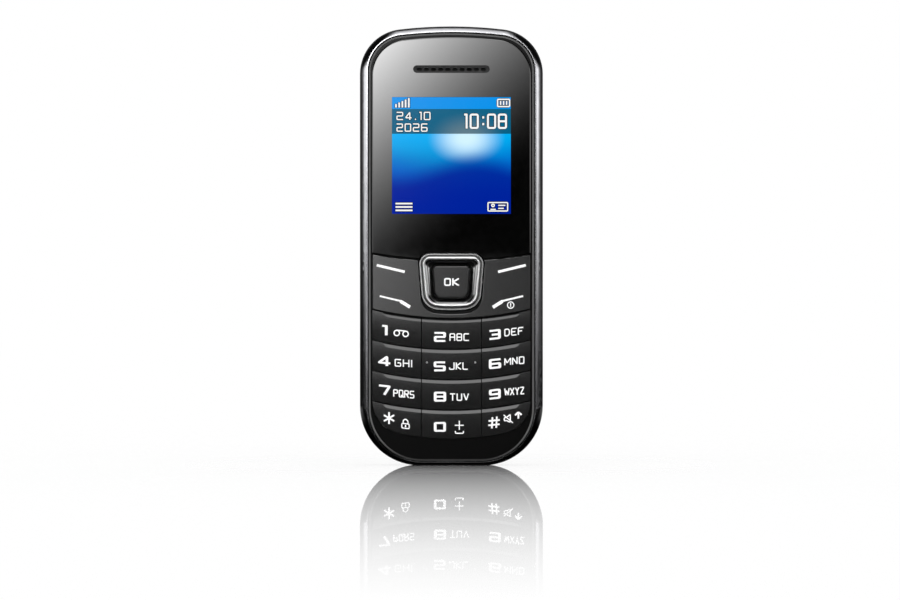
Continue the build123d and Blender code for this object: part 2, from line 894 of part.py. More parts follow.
with BuildPart() as microphone_boot:
    with BuildSketch(level_plane(board_back_level - microphone_thickness)):
        with Locations((microphone_x, microphone_height)):
            Rectangle(microphone_width + boot_wall * 2, microphone_length + boot_wall * 2)
            Rectangle(microphone_width, microphone_length, mode=Mode.SUBTRACT)
    extrude(amount=microphone_thickness)
save(microphone_boot, "microphone_boot")

# Charging socket on the board's back, open at the lower end
with BuildPart() as charge_socket_shell:
    with BuildSketch(Plane.XY.offset(socket_foot)):
        with Locations((0, -socket_mid_level)):
            Rectangle(socket_width, socket_depth)
    extrude(amount=socket_length)
    with BuildSketch(Plane.XY.offset(socket_foot)):
        with Locations((0, -socket_mid_level)):
            Rectangle(socket_width - socket_wall * 2, socket_depth - socket_wall * 2)
    extrude(amount=socket_length - socket_wall, mode=Mode.SUBTRACT)
save(charge_socket_shell, "charge_socket_shell")

with BuildPart() as charge_socket_tongue:
    with BuildSketch(Plane.XY.offset(socket_foot + socket_length - socket_wall - tongue_length)):
        with Locations((0, -socket_mid_level)):
            Rectangle(tongue_width, tongue_thickness)
    extrude(amount=tongue_length)
save(charge_socket_tongue, "charge_socket_tongue")

# Rear housing: a rim wall round a floor, with the battery bay, screw seats and motor cradle on its back
bay_width = battery_width + bay_clearance * 2
bay_length = battery_length + bay_clearance * 2
bay_back_level = floor_back_level - bay_wall_height
with BuildPart() as rear_housing:
    with BuildSketch(level_plane(cover_seam_level)):
        add(body_outline())
        add(body_outline(rear_wall), mode=Mode.SUBTRACT)
    extrude(amount=seam_level - cover_seam_level)
    with BuildSketch(level_plane(floor_back_level)):
        add(body_outline(rear_wall))
    extrude(amount=floor_thickness)
    with BuildSketch(level_plane(bay_back_level)):
        with Locations((0, battery_mid_height)):
            Rectangle(bay_width + bay_wall * 2, bay_length + bay_wall * 2)
        with Locations(*boss_places):
            Circle(screw_head_radius + bay_wall)
    extrude(amount=bay_wall_height)
    with BuildSketch(level_plane(bay_back_level)):
        with Locations((0, battery_mid_height)):
            Rectangle(bay_width, bay_length)
        with Locations((0, battery_mid_height + bay_length / 2)):
            Rectangle(connector_width + bay_clearance * 2, connector_height * 2)
    extrude(amount=bay_wall_height, mode=Mode.SUBTRACT)
    with BuildSketch(level_plane(bay_back_level)):
        with Locations(*boss_places):
            Circle(screw_head_radius + seat_gap)
    extrude(amount=boss_seat_level - bay_back_level, mode=Mode.SUBTRACT)
    with BuildSketch(level_plane(bay_back_level)):
        with Locations(*boss_places):
            Circle(screw_radius + seat_gap)
    extrude(amount=body_thickness / 2, mode=Mode.SUBTRACT)
    with BuildSketch(Plane.XY.offset(-overrun)):
        with Locations((0, -socket_mid_level)):
            Rectangle(socket_width + socket_clearance * 2, socket_depth + socket_clearance * 2)
    extrude(amount=socket_length + overrun * 2, mode=Mode.SUBTRACT)
    with BuildSketch(Plane.XY.offset(-overrun)):
        with Locations((microphone_x, -cover_seam_level / 2)):
            Circle(sound_hole_radius)
    extrude(amount=microphone_height, mode=Mode.SUBTRACT)
save(rear_housing, "rear_housing")

with BuildPart() as housing_screws:
    with BuildSketch(level_plane(boss_seat_level - screw_head_thickness)):
        with Locations(*boss_places):
            Circle(screw_head_radius)
    extrude(amount=screw_head_thickness)
    with BuildSketch(level_plane(boss_seat_level)):
        with Locations(*boss_places):
            Circle(screw_radius)
    extrude(amount=boss_foot_level + screw_reach - seat_gap - boss_seat_level)
save(housing_screws, "housing_screws")

# Loudspeaker behind the slots of the back cover, in its soft frame
with BuildPart() as loudspeaker:
    with BuildSketch(level_plane(floor_back_level - loudspeaker_thickness)):
        with Locations((0, loudspeaker_mid_height)):
            RectangleRounded(loudspeaker_width, loudspeaker_height, loudspeaker_corner)
    extrude(amount=loudspeaker_thickness)
save(loudspeaker, "loudspeaker")

with BuildPart() as loudspeaker_gasket:
    with BuildSketch(level_plane(cover_inner_level + seat_gap)):
        with Locations((0, loudspeaker_mid_height)):
            Rectangle(loudspeaker_width - gasket_wall * 2, loudspeaker_height - gasket_wall * 2)
            Rectangle(
                loudspeaker_width - gasket_wall * 4, loudspeaker_height - gasket_wall * 4, mode=Mode.SUBTRACT
            )
    extrude(amount=floor_back_level - loudspeaker_thickness - cover_inner_level - seat_gap)
save(loudspeaker_gasket, "loudspeaker_gasket")

# Antenna: a plastic block beside the loudspeaker with a metal strip folded over its back
antenna_x = (loudspeaker_width + antenna_width) / 2 + antenna_gap
with BuildPart() as antenna_carrier:
    with BuildSketch(level_plane(floor_back_level - antenna_depth)):
        with Locations((-antenna_x, antenna_mid_height), (antenna_x, antenna_mid_height)):
            Rectangle(antenna_width, antenna_height)
    extrude(amount=antenna_depth)
save(antenna_carrier, "antenna_carrier")

with BuildPart() as antenna_strips:
    with BuildSketch(level_plane(floor_back_level - antenna_depth - antenna_strip_thickness)):
        with Locations((-antenna_x, antenna_mid_height), (antenna_x, antenna_mid_height)):
            Rectangle(antenna_width - antenna_wall, antenna_height - antenna_wall)
            Rectangle(
                antenna_width - antenna_wall - antenna_strip_width,
                antenna_height - antenna_wall - antenna_strip_width,
                mode=Mode.SUBTRACT,
            )
    extrude(amount=antenna_strip_thickness)
save(antenna_strips, "antenna_strips")

# Vibration motor under the battery bay: a can, its shaft and a half-round weight
motor_level = floor_back_level - motor_radius
with BuildPart() as vibration_motor:
    with BuildSketch(Plane.YZ.offset(motor_x)):
        with Locations((-motor_level, motor_height)):
            Circle(motor_radius)
            Circle(shaft_radius + seat_gap, mode=Mode.SUBTRACT)
    extrude(amount=motor_length)
save(vibration_motor, "vibration_motor")

weight_x = motor_x + motor_length + weight_gap
with BuildPart() as vibration_shaft:
    with BuildSketch(Plane.YZ.offset(motor_x + weight_gap)):
        with Locations((-motor_level, motor_height)):
            Circle(shaft_radius)
    extrude(amount=motor_length + shaft_reach - weight_gap)
save(vibration_shaft, "vibration_shaft")

with BuildPart() as vibration_weight:
    with BuildSketch(Plane.YZ.offset(weight_x)):
        with Locations((-motor_level, motor_height)):
            Circle(weight_radius)
        with Locations((-motor_level, motor_height + weight_radius)):
            Rectangle(weight_radius * 2, weight_radius * 2 - shaft_radius * 2, mode=Mode.SUBTRACT)
        with Locations((-motor_level, motor_height)):
            Circle(shaft_radius * 2)
            Circle(shaft_radius, mode=Mode.SUBTRACT)
    extrude(amount=weight_length)
save(vibration_weight, "vibration_weight")

# Battery with its contact plates, and the spring block that meets them at the bay's upper end
battery_top = battery_mid_height + battery_length / 2
terminal_level = battery_front_level - connector_thickness / 2
terminal_places = [(column * terminal_pitch, -terminal_level) for column in (-1, 0, 1)]
with BuildPart() as battery_pack:
    with BuildSketch(level_plane(battery_back_level)):
        with Locations((0, battery_mid_height)):
            Rectangle(battery_width, battery_length)
    extrude(amount=battery_thickness)
    fillet(battery_pack.edges().filter_by(Axis.Z), battery_edge_round)
    with BuildSketch(Plane.XY.offset(battery_top - terminal_thickness)):
        with Locations(*terminal_places):
            Rectangle(terminal_width, terminal_width)
    extrude(amount=terminal_thickness, mode=Mode.SUBTRACT)
save(battery_pack, "battery_pack")

with BuildPart() as battery_terminals:
    with BuildSketch(Plane.XY.offset(battery_top - terminal_thickness)):
        with Locations(*terminal_places):
            Rectangle(terminal_width, terminal_width)
    extrude(amount=terminal_thickness)
save(battery_terminals, "battery_terminals")

connector_foot = battery_top + spring_reach
with BuildPart() as battery_connector:
    with BuildSketch(level_plane(floor_back_level - connector_thickness)):
        with Locations((0, connector_foot + connector_height / 2)):
            Rectangle(connector_width, connector_height)
    extrude(amount=connector_thickness)
save(battery_connector, "battery_connector")

with BuildPart() as battery_springs:
    with BuildSketch(Plane.XY.offset(battery_top + seat_gap)):
        with Locations(*terminal_places):
            Rectangle(spring_width, terminal_width)
    extrude(amount=spring_reach - seat_gap)
save(battery_springs, "battery_springs")

# SIM card in a shallow tray with two bridges over it
sim_back_level = floor_back_level - holder_base - sim_gap - sim_thickness
holder_length = sim_length + (sim_gap + holder_wall) * 2
with BuildPart() as sim_holder:
    with BuildSketch(level_plane(sim_back_level - sim_gap - holder_cap)):
        with Locations((sim_x, sim_mid_height)):
            Rectangle(sim_width, holder_length)
    extrude(amount=floor_back_level - sim_back_level + sim_gap + holder_cap)
    with BuildSketch(level_plane(sim_back_level - sim_gap)):
        with Locations((sim_x, sim_mid_height)):
            Rectangle(sim_width, sim_length + sim_gap * 2)
    extrude(amount=sim_thickness + sim_gap * 2, mode=Mode.SUBTRACT)
    with BuildSketch(level_plane(back_level)):
        with Locations((sim_x, sim_mid_height)):
            Rectangle(sim_width, sim_length + sim_gap * 2)
            with GridLocations(holder_bridge_pitch, 0, 2, 1):
                Rectangle(holder_bridge, sim_length + sim_gap * 2, mode=Mode.SUBTRACT)
    extrude(amount=sim_back_level - back_level, mode=Mode.SUBTRACT)
save(sim_holder, "sim_holder")

with BuildPart() as sim_card:
    with BuildSketch(level_plane(sim_back_level)) as sim_face:
        with Locations((sim_x, sim_mid_height)):
            Rectangle(sim_width, sim_length)
        corner = sim_face.vertices().group_by(Axis.X)[-1].sort_by(Axis.Y)[-1]
        chamfer(corner, sim_corner_cut)
    extrude(amount=sim_thickness)
save(sim_card, "sim_card")

# Back cover: a shallow lid with rounded edges, a locating lip, loudspeaker slots and a thumbnail notch
with BuildPart() as hollow:
    with BuildSketch(level_plane(cover_inner_level)):
        add(body_outline(rear_wall + cover_lip_clearance + cover_lip_width))
    extrude(amount=body_thickness)
    fillet(hollow.faces().sort_by(Axis.Y)[-1].edges(), cover_back_round - cover_wall)
with BuildPart() as battery_cover:
    with BuildSketch(level_plane(back_level)):
        add(body_outline(cover_inset))
    extrude(amount=cover_seam_level - back_level)
    fillet(battery_cover.faces().sort_by(Axis.Y)[-1].edges(), cover_back_round)
    with BuildSketch(level_plane(cover_seam_level)):
        add(body_outline(rear_wall + cover_lip_clearance))
    extrude(amount=cover_lip_height)
    add(hollow.part, mode=Mode.SUBTRACT)
    with BuildSketch(level_plane(bay_back_level - lift_clearance)):
        with Locations(*boss_places):
            Circle(screw_head_radius + bay_wall + lift_clearance)
    extrude(amount=body_thickness, mode=Mode.SUBTRACT)
    with BuildSketch(level_plane(back_level)):
        with Locations((0, loudspeaker_mid_height)):
            with GridLocations(0, slot_pitch, 1, slot_count):
                SlotOverall(slot_length, slot_width)
    extrude(amount=cover_wall, mode=Mode.SUBTRACT)
    with BuildSketch(level_plane(cover_seam_level - notch_height)):
        with Locations((0, cover_inset + notch_depth - notch_radius)):
            Circle(notch_radius)
    extrude(amount=notch_height, mode=Mode.SUBTRACT)
save(battery_cover, "battery_cover")
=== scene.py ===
from math import cos, radians, sin

import bmesh
import bpy
from mathutils import Matrix, Vector
from mathutils.bvhtree import BVHTree


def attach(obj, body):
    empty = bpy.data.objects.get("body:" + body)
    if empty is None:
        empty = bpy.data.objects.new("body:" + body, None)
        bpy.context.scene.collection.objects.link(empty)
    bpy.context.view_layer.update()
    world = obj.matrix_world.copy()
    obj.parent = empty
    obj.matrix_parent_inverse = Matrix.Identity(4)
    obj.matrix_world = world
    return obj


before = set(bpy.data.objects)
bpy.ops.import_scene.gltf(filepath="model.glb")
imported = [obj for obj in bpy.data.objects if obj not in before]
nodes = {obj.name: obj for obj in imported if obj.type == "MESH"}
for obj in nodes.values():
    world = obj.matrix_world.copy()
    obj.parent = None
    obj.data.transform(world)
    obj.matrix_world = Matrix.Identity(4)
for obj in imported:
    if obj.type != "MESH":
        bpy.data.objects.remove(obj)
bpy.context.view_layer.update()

# Camera: level with the function plate, 1.2 m in front, looking along +Y.
# The lens makes the phone as tall in the frame as the photograph shows it.
scene = bpy.context.scene
mm = 0.001
camera_side = -0.344
camera_height = 40.69
camera_distance = 1.2
camera_data = bpy.data.cameras.new("camera")
camera_data.sensor_width = 36
camera_data.lens = 194.4
camera_data.clip_start = 0.01
camera = bpy.data.objects.new("camera", camera_data)
camera.location = (camera_side * mm, -camera_distance, camera_height * mm)
camera.rotation_euler = (radians(90), 0, 0)
scene.collection.objects.link(camera)
scene.camera = camera
scene.view_settings.view_transform = "Standard"


# Outer shells: the band is moulded plastic with a smoky metal plating, darkened
# towards its foot as painted shade; the front housing is polished black plastic,
# with a painted highlight on its rim crest that darkens towards the bottom as
# painted shade; and the rear housing and the back cover have the fine spark
# texture of their mould.
# Heights in mm over which the band's painted shade at the foot fades out.
painted_foot_shade_dark, painted_foot_shade_end = 9.0, 16.0
# Depth of the rim crest, and the heights in mm over which its painted highlight fades to
# painted shade towards the bottom.
rim_front = -5.84
painted_rim_shade_height, painted_rim_highlight_height = 0.0, 10.0


# A shader socket whose arithmetic makes the math nodes, and whose node method
# adds any other node.
class Wire:
    def __init__(self, tree, socket):
        self.tree = tree
        self.socket = socket

    def node(self, kind, settings=None, inputs=None, output=0):
        made = self.tree.nodes.new(kind)
        for key, value in (settings or {}).items():
            setattr(made, key, value)
        for key, value in (inputs or {}).items():
            if isinstance(value, Wire):
                self.tree.links.new(value.socket, made.inputs[key])
            else:
                made.inputs[key].default_value = value
        return Wire(self.tree, made.outputs[output])

    def math(self, operation, other=0.0):
        return self.node("ShaderNodeMath", {"operation": operation}, {0: self, 1: other})

    def __add__(self, other):
        return self.math("ADD", other)

    __radd__ = __add__

    def __sub__(self, other):
        return self.math("SUBTRACT", other)

    def __rsub__(self, other):
        return (self * -1.0) + other

    def __mul__(self, other):
        return self.math("MULTIPLY", other)

    __rmul__ = __mul__

    def __truediv__(self, other):
        return self.math("DIVIDE", other)

    def __lt__(self, other):
        return self.math("LESS_THAN", other)

    def __gt__(self, other):
        return self.math("GREATER_THAN", other)

    def step(self, low, high):
        return self.node("ShaderNodeMapRange", {"interpolation_type": "SMOOTHSTEP"},
                         {0: self, 1: low, 2: high})

    def mix(self, low, high):
        return self.node("ShaderNodeMix", {"data_type": "RGBA"}, {0: self, 6: low, 7: high}, 2)


def start(name):
    material = bpy.data.materials.new(name)
    material.use_nodes = True
    tree = material.node_tree
    shader = tree.nodes["Principled BSDF"]
    wire = Wire(tree, None)
    place = wire.node("ShaderNodeTexCoord", output=3)
    return material, shader, place


# The object's own coordinates, in millimetres.
def axes(place):
    split = place.node("ShaderNodeSeparateXYZ", {}, {0: place})
    outs = split.socket.node.outputs
    return [Wire(place.tree, outs[i]) / mm for i in range(3)]


def noise(place, scale, detail=3.0, stretch=None):
    spot = place
    if stretch:
        spot = place.node("ShaderNodeMapping", {}, {0: place, "Scale": stretch})
    return spot.node("ShaderNodeTexNoise", {},
                     {"Vector": spot, "Scale": scale, "Detail": detail})


def grey(value, tint=(1.0, 1.0, 1.0)):
    return (value * tint[0], value * tint[1], value * tint[2], 1.0)


def connect(shader, wires):
    for key, value in wires.items():
        if isinstance(value, Wire):
            value.tree.links.new(value.socket, shader.inputs[key])
        else:
            shader.inputs[key].default_value = value


def bump(height, strength, distance):
    return height.node("ShaderNodeBump", {},
                       {"Height": height, "Strength": strength, "Distance": distance})


def dress(material, *names):
    for name in names:
        data = nodes[name].data
        if not data.materials:
            data.materials.append(material)
        for i in range(len(data.materials)):
            data.materials[i] = material


material, shader, place = start("band_metal")
x, y, z = axes(place)
cloud = noise(place, 260.0, 4.0)
fine = noise(place, 9000.0, 2.0)
smoke = (1, 1, 1.04)
plating = cloud.step(0.3, 0.7).mix(grey(0.125, smoke), grey(0.145, smoke))
# Painted shade: the plating's colour goes to near black towards the band's foot.
connect(shader, {
    "Base Color": z.step(painted_foot_shade_dark, painted_foot_shade_end).mix(grey(0.02), plating),
    "Metallic": 1.0,
    "Roughness": fine.step(0.3, 0.7) * 0.015 + 0.085,
})
dress(material, "bezel_frame")
material, shader, place = start("front_black")
x, y, z = axes(place)
# Painted highlight: the rim crest is coloured a lighter grey to stand for the light line on its
# rounded edge, and darker towards the bottom as painted shade.
painted_highlight_crest = y < rim_front
fine = noise(place, 5000.0, 2.0)
painted_rim_highlight = z.step(painted_rim_shade_height, painted_rim_highlight_height).mix(grey(0.04), grey(0.13))
connect(shader, {
    "Base Color": painted_highlight_crest.mix(fine.mix(grey(0.003), grey(0.005)), painted_rim_highlight),
    "Roughness": painted_highlight_crest * 0.3 + fine * 0.05 + 0.1,
    "Normal": bump(fine, 0.02, 0.00001),
    "Specular IOR Level": 0.03,
})
dress(material, "front_cover")
material, shader, place = start("rear_spark")
spark = place.node("ShaderNodeTexVoronoi", {}, {"Vector": place, "Scale": 4200.0})
cloud = noise(place, 900.0, 4.0)
connect(shader, {
    "Base Color": cloud.step(0.2, 0.8).mix(grey(0.015), grey(0.018)),
    "Roughness": cloud.step(0.2, 0.8) * 0.04 + 0.46,
    "Normal": bump(spark, 0.35, 0.00003),
})
dress(material, "rear_housing", "battery_cover")

# Display window: a clear moulded lens, printed black at the back round the lit
# area and taped to the front housing. The print ends at the screen's edges.
screen_half = 14.6
screen_bottom, screen_top = 61.85, 90.55
material, shader, place = start("window_print")
x, y, z = axes(place)
inside = (x > -screen_half) * (x < screen_half) * (z > screen_bottom) * (z < screen_top)
fine = noise(place, 700.0, 3.0)
connect(shader, {
    "Base Color": fine.step(0.4, 0.6).mix(grey(0.0006), grey(0.0012)),
    "Roughness": fine.step(0.3, 0.7) * 0.01 + 0.02,
    "Alpha": 1.0 - inside,
})
dress(material, "display_window")

# Keys, function plate, rocker skirt and earpiece grille: moulded black plastic
# with a fine satin grain; the skirt is plated, and the band of it that sits in
# the gap round it is painted near black as shade.
shade_gap_front, shade_gap_back = -5.76, -5.64
keys = [["1", "2", "3"], ["4", "5", "6"], ["7", "8", "9"], ["star", "0", "hash"]]
key_nodes = ["key_" + k for row in keys for k in row]


# A finish of one kind of stuff: two shades, a range of roughness and a grain.
def surface(name, dark, light, rough, scale=900.0, grain=6000.0, depth=0.2, stretch=None,
            **constants):
    material, shader, place = start(name)
    cloud = noise(place, scale, 3.0, stretch)
    fine = noise(place, grain, 2.0, stretch)
    connect(shader, {
        "Base Color": cloud.step(0.35, 0.65).mix(dark, light),
        "Roughness": fine.step(0.3, 0.7) * (rough[1] - rough[0]) + rough[0],
        "Normal": bump(fine, depth, 0.00002),
    })
    for key, value in constants.items():
        shader.inputs[key.replace("_", " ")].default_value = value
    return material


dress(surface("key_satin", grey(0.008), grey(0.009), (0.15, 0.17), 1100.0, 9000.0, 0.005,
              Specular_IOR_Level=0.34), *key_nodes)
dress(surface("ok_satin", grey(0.003), grey(0.005), (0.12, 0.14), 1100.0, 9000.0, 0.02,
              Specular_IOR_Level=0.3), "ok_key")
dress(surface("plate_satin", grey(0.004), grey(0.006), (0.11, 0.13), 700.0, 9000.0, 0.02,
              Specular_IOR_Level=0.4), "function_plate")
dress(surface("grille_black", grey(0.022), grey(0.032), (0.3, 0.36), 900.0, 7000.0, 0.05,
              Specular_IOR_Level=0.08), "earpiece_grille")
material, shader, place = start("skirt_gloss")
x, y, z = axes(place)
# Painted shade: within these depths the skirt loses its plating and is near black, for the
# shade in the gap round it.
gap = (y > shade_gap_front) * (y < shade_gap_back)
fine = noise(place, 7000.0, 2.0)
connect(shader, {
    "Base Color": gap.mix(fine.mix(grey(0.12), grey(0.15)), grey(0.002)),
    "Metallic": 1.0 - gap,
    "Roughness": fine * 0.06 + gap * 0.3 + 0.12,
    "Normal": bump(fine, 0.02, 0.00001),
})
dress(material, "nav_base")

# Rocker ring: a moulded ring with a light satin plating, clipped on the skirt.
# It catches the brightest line on the front.
dress(surface("ring_plate", grey(0.34), grey(0.38), (0.36, 0.42), 800.0, 5000.0, 0.03,
              Metallic=1.0), "nav_ring")

# Inner parts: they show only when the cover is lifted or through a gap. Rubber,
# foam, steel cans and screws, gilt contacts, chips, light chips and carriers,
# each pressed, soldered or snapped in its place.
along = (1.0, 1.0, 0.05)
gilt_dark, gilt_light = (1, 0.74, 0.32), (1, 0.78, 0.38)
lamp_yellow = (1, 0.98, 0.6)
amber_dark, amber_light = (1, 0.5, 0.14), (1, 0.55, 0.18)
glass_blue = (0.8, 0.9, 1)
dress(surface("silicone", grey(0.012), grey(0.02), (0.6, 0.7), 500.0, 4000.0, 0.2,
              Specular_IOR_Level=0.2),
      "keypad_mat", "nav_support", "function_support", "microphone_boot")
dress(surface("foam", grey(0.003), grey(0.006), (0.8, 0.95), 6000.0, 9000.0, 0.8,
              Specular_IOR_Level=0.02),
      "window_tape", "loudspeaker_gasket", "earpiece_gasket")
dress(surface("steel", grey(0.5), grey(0.62), (0.22, 0.38), 1500.0, 2500.0, 0.15, along,
              Metallic=1.0),
      "key_domes", "shield_cans", "housing_screws", "vibration_motor", "vibration_shaft",
      "vibration_weight")
dress(surface("socket_nickel", grey(0.06), grey(0.08), (0.35, 0.45), 1500.0, 2500.0, 0.1,
              Metallic=1.0),
      "charge_socket_shell")
dress(surface("gold", grey(0.72, gilt_dark), grey(0.84, gilt_light), (0.2, 0.32), 1500.0,
              4000.0, 0.1, Metallic=1.0),
      "battery_springs", "battery_terminals", "antenna_strips")
dress(surface("epoxy", grey(0.004), grey(0.008), (0.5, 0.65), 2500.0, 9000.0, 0.4,
              Specular_IOR_Level=0.03),
      "board_chips", "microphone", "charge_socket_tongue", "battery_connector",
      "earpiece_speaker", "loudspeaker")
dress(surface("led_epoxy", grey(0.03, lamp_yellow), grey(0.05, lamp_yellow), (0.3, 0.4),
              3000.0), "keypad_leds")
dress(surface("light_box", grey(0.7), grey(0.8), (0.5, 0.6), 600.0), "lcd_backlight")
dress(surface("film", grey(0.42, amber_dark), grey(0.5, amber_light), (0.25, 0.35), 900.0,
              3000.0, 0.1, (1.0, 1.0, 0.1)), "lcd_flex")
dress(surface("carrier_grey", grey(0.03), grey(0.045), (0.45, 0.6), 700.0, 6000.0, 0.3),
      "antenna_carrier", "sim_holder")
dress(surface("card_white", grey(0.72), grey(0.8), (0.35, 0.45), 900.0, 4000.0, 0.1),
      "sim_card")
dress(surface("glass_dark", grey(0.01, glass_blue), grey(0.02, glass_blue), (0.03, 0.06),
              400.0), "lcd_glass")

# Circuit board: glass fibre with a green solder mask over traces and vias at
# the back; the front is painted near black as shade, where the keypad's gaps
# would show it.
board_shade_front = -1.7
material, shader, place = start("board_mask")
x, y, z = axes(place)
weave = place.node("ShaderNodeTexBrick", {"offset": 0.37}, {
    "Vector": place, "Scale": 420.0, "Mortar Size": 0.06, "Color1": (0, 0, 0, 1),
    "Color2": (0.2, 0.2, 0.2, 1), "Mortar": (1, 1, 1, 1)})
traces = weave.mix(grey(0.03, (0.15, 1, 0.4)), grey(0.06, (0.2, 1, 0.4)))
cells = place.node("ShaderNodeTexVoronoi", {}, {"Vector": place, "Scale": 700.0})
dots = (cells < 0.14) * (y > board_shade_front)
# Painted shade: the board's front is near black, standing in for the shade behind the keypad's
# gaps.
mask_and_shade = (y > board_shade_front).mix(grey(0.006), traces)
connect(shader, {
    "Base Color": dots.mix(mask_and_shade, grey(0.6, (1, 0.75, 0.3))),
    "Roughness": dots * -0.1 + 0.35,
    "Metallic": dots,
    "Normal": bump(weave, 0.3, 0.00003),
    "Specular IOR Level": 0.06,
})
dress(material, "main_board")

# Battery pack: a flat cell in a printed silver wrap, with a dark moulded cap at
# its contact end and a bare label panel. It lies loose in the rear housing.
cap_start = 73.0
label_half = 12.0
label_bottom, label_top = 30.0, 66.0
material, shader, place = start("battery_wrap")
x, y, z = axes(place)
cap = z > cap_start
panel = (x > -label_half) * (x < label_half) * (z > label_bottom) * (z < label_top)
fine = noise(place, 1800.0, 3.0, (1.0, 1.0, 0.08))
wrap = fine.step(0.3, 0.7).mix(grey(0.42), grey(0.52))
connect(shader, {
    "Base Color": cap.mix(panel.mix(wrap, grey(0.68)), grey(0.05)),
    "Metallic": 0.6 - cap * 0.6 - panel * 0.4,
    "Roughness": fine.step(0.3, 0.7) * 0.12 + 0.3,
    "Normal": bump(fine, 0.08, 0.00002),
})
dress(material, "battery_pack")

# Screen picture: a sheet of light just in front of the glass, with soft waves
# of cyan and blue, a dark strip at the top and a teal band for date and clock.
screen_level = -5.23 * mm
band_bottom, band_top = 81.55, 87.65
sun_side, sun_height = 3.6, 80.5


def sheet(name, width, height, middle, lean=90.0):
    work = bmesh.new()
    bmesh.ops.create_grid(work, x_segments=1, y_segments=1, size=0.5)
    bmesh.ops.scale(work, verts=work.verts[:], vec=(width, height, 1.0))
    bmesh.ops.rotate(work, verts=work.verts[:], cent=(0, 0, 0),
                     matrix=Matrix.Rotation(radians(lean), 3, "X"))
    bmesh.ops.translate(work, verts=work.verts[:], vec=middle)
    mesh = bpy.data.meshes.new(name)
    work.to_mesh(mesh)
    work.free()
    made = bpy.data.objects.new(name, mesh)
    scene.collection.objects.link(made)
    return made


material, shader, place = start("screen_picture")
x, y, z = axes(place)
sweep = (z - 62.0) / 28.6
wave_low = ((x * 0.16 + 0.6).math("SINE") * 2.2 + 74.5 - z).step(-1.2, 5.0)
wave_mid = ((x * 0.11 - 1.3).math("SINE") * 3.2 + 79.5 - z).step(-1.0, 7.0)
sky = sweep.step(0.1, 0.75).mix((0.0, 0.006, 0.2, 1), (0.0, 0.4, 0.85, 1))
off_side, off_height = x - sun_side, z - sun_height
from_sun = (off_side * off_side * 0.5 + off_height * off_height).math("SQRT")
glare = 1.0 - from_sun.step(0.6, 7.0)
lit = (glare * 0.8).mix(sky, (0.75, 0.95, 1.0, 1))
hill = (wave_mid * 0.55).mix(lit, (0.0, 0.09, 0.6, 1))
deep = (wave_low * 0.85).mix(hill, (0.0, 0.008, 0.28, 1))
band = (z > band_bottom) * (z < band_top)
strip = z > band_top
upper = strip.mix(deep, (0.0, 0.26, 0.75, 1))
shown = (band * 0.82).mix(upper, (0.002, 0.045, 0.07, 1))
gleam = noise(place, 700.0, 3.0)
connect(shader, {
    "Base Color": grey(0.0),
    "Roughness": gleam.step(0.3, 0.7) * 0.01 + 0.03,
    "Specular IOR Level": 0.04,
    "Emission Color": shown,
    "Emission Strength": 1.1,
})
picture = sheet("screen_picture", 2 * screen_half * mm, (screen_top - screen_bottom) * mm,
                (0.0, screen_level, (screen_top + screen_bottom) / 2 * mm))
picture.data.materials.append(material)
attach(picture, "phone_body")

# Legends: strokes of white ink with a faint painted glow of their own, laid on
# each key's own surface and raised by 0.03 mm. The glyphs are drawn on a grid of
# 4 by 4 units, and placed by where they stand in the photograph, in its pixels.
glyphs = {
    "0": "04 44 40 00 04", "1": "14 24|24 20", "2": "04 44 42 02 00 40",
    "3": "04 44 40 00|12 42", "4": "30 34 01 41", "5": "44 04 02 42 40 00",
    "6": "44 04 00 40 42 02", "7": "04 44 20", "8": "04 44 40 00 04|02 42",
    "9": "42 02 04 44 40 00", ":": "11 11.3|13 13.3", ".": "10 10.3",
    "A": "00 04 44 40|02 42", "B": "00 04 44 40 00|02 42", "C": "44 04 00 40",
    "D": "00 04 34 43 41 30 00", "E": "44 04 00 40|02 32", "F": "44 04 00|02 32",
    "G": "44 04 00 40 42 22", "H": "00 04|40 44|02 42", "I": "00 04", "J": "44 40 00 01",
    "K": "00 04|44 02 40", "L": "04 00 40", "M": "00 04 21 54 50", "N": "00 04 40 44",
    "O": "04 44 40 00 04", "P": "00 04 44 42 02", "Q": "04 44 40 00 04|21 50",
    "R": "00 04 44 42 02|22 40", "S": "44 04 02 42 40 00", "T": "04 44|24 20",
    "U": "04 00 40 44", "V": "04 20 44", "W": "04 10 23 40 54", "X": "04 40|00 44",
    "Y": "04 22 44|22 20", "Z": "04 44 00 40",
}
common_advance = 6.0
advance = {"I": 2.4, "1": 4.2, ":": 3.6, ".": 3.0, "M": 6.8, "W": 6.8}
letter_gap = 2.0
photo_middle, photo_foot = 451.4, 465.5
pixels_per_mm = 4.067
meeting = 1e-6


# A place in the photograph as millimetres across and up.
def px(u, v):
    return Vector(((u - photo_middle) / pixels_per_mm, (photo_foot - v) / pixels_per_mm))


def words(text, left, base, width, height, slope=0.0):
    total = sum(advance.get(c, common_advance) for c in text) - letter_gap
    unit = width / total
    lines, pen = [], 0.0
    for c in text:
        for stroke in glyphs[c].split("|"):
            line = []
            for spot in stroke.split():
                u = (pen + float(spot[0])) * unit
                line.append((left + u, base + slope * u - float(spot[1:]) * height / 4))
            lines.append(line)
        pen += advance.get(c, common_advance)
    return lines


def ring(u, v, radius, steps=20):
    turns = [radians(360.0 * i / steps) for i in range(steps + 1)]
    return [(u + radius * cos(t), v - radius * sin(t)) for t in turns]


# The same line with its corners rounded.
def rounded(line, radius):
    closed = (line[0] - line[-1]).length < meeting
    count = len(line)
    out = []
    for i, spot in enumerate(line):
        if closed:
            before = line[i - 1 if i else count - 2]
            after = line[(i + 1) % count if i < count - 1 else 1]
        elif i in (0, count - 1):
            out.append(spot)
            continue
        else:
            before, after = line[i - 1], line[i + 1]
        back, forth = before - spot, after - spot
        cut = min(radius, back.length * 0.4, forth.length * 0.4)
        first, last = spot + back.normalized() * cut, spot + forth.normalized() * cut
        for share in (0.0, 0.3, 0.7, 1.0):
            mid = first.lerp(last, share)
            out.append(mid.lerp(spot, share * (1.0 - share) * 2.0))
    if closed:
        half = len(out) // count
        out = out[:-half]
        out.append(out[0].copy())
    return out


